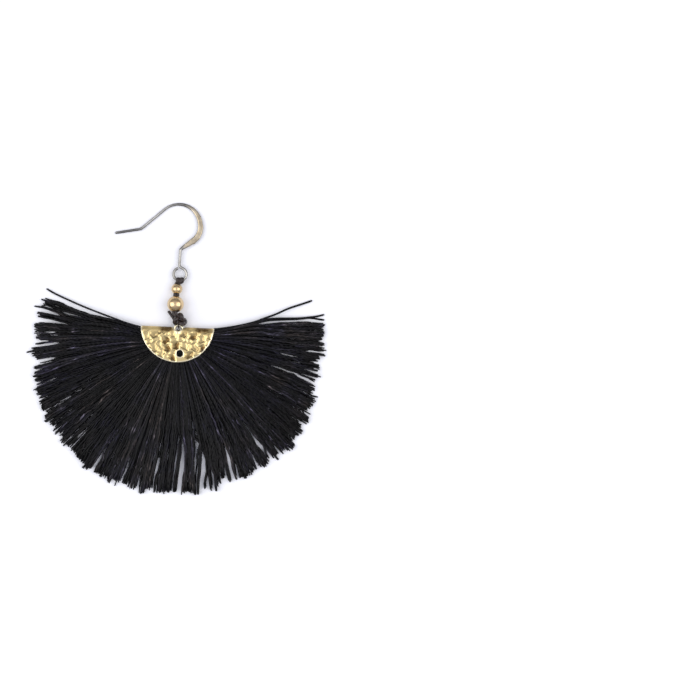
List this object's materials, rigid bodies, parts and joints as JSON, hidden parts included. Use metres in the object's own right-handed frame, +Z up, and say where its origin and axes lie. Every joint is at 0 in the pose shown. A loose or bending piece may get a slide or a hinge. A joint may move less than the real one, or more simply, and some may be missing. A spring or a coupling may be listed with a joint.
{
  "type": "tassel earring",
  "caption": "Fan-shaped thread tassel under a folded hammered disc, hung by a knotted cord and beads from a bent ear wire, lying flat.",
  "frame": {"origin": "middle of the lying earring's outline box, on the surface that it lies on", "axes": "+Z up off the surface, towards the face with the hole in its plate; +Y along the earring from the fringe to the hook; +X to the right across the fan as seen from above"},
  "size_m": [0.079, 0.0789, 0.0045],
  "materials": {
    "ear_wire": "polished pale gold wire, hammered flat along the front",
    "waxed_cord": "waxed cotton cord, dark brown, faint sheen",
    "bead_metal": "polished antique brass",
    "ring_metal": "polished brass wire",
    "cap_metal": "hammered polished brass, brown along the fold and in the marks",
    "thread": "black silky twisted thread"
  },
  "bodies": {
    "root": {"ear_hook": "ear_wire", "cord": "waxed_cord", "small_bead": "bead_metal", "large_bead": "bead_metal", "jump_ring": "ring_metal", "cap": "cap_metal", "tassel": "thread"}
  },
  "joints": []
}
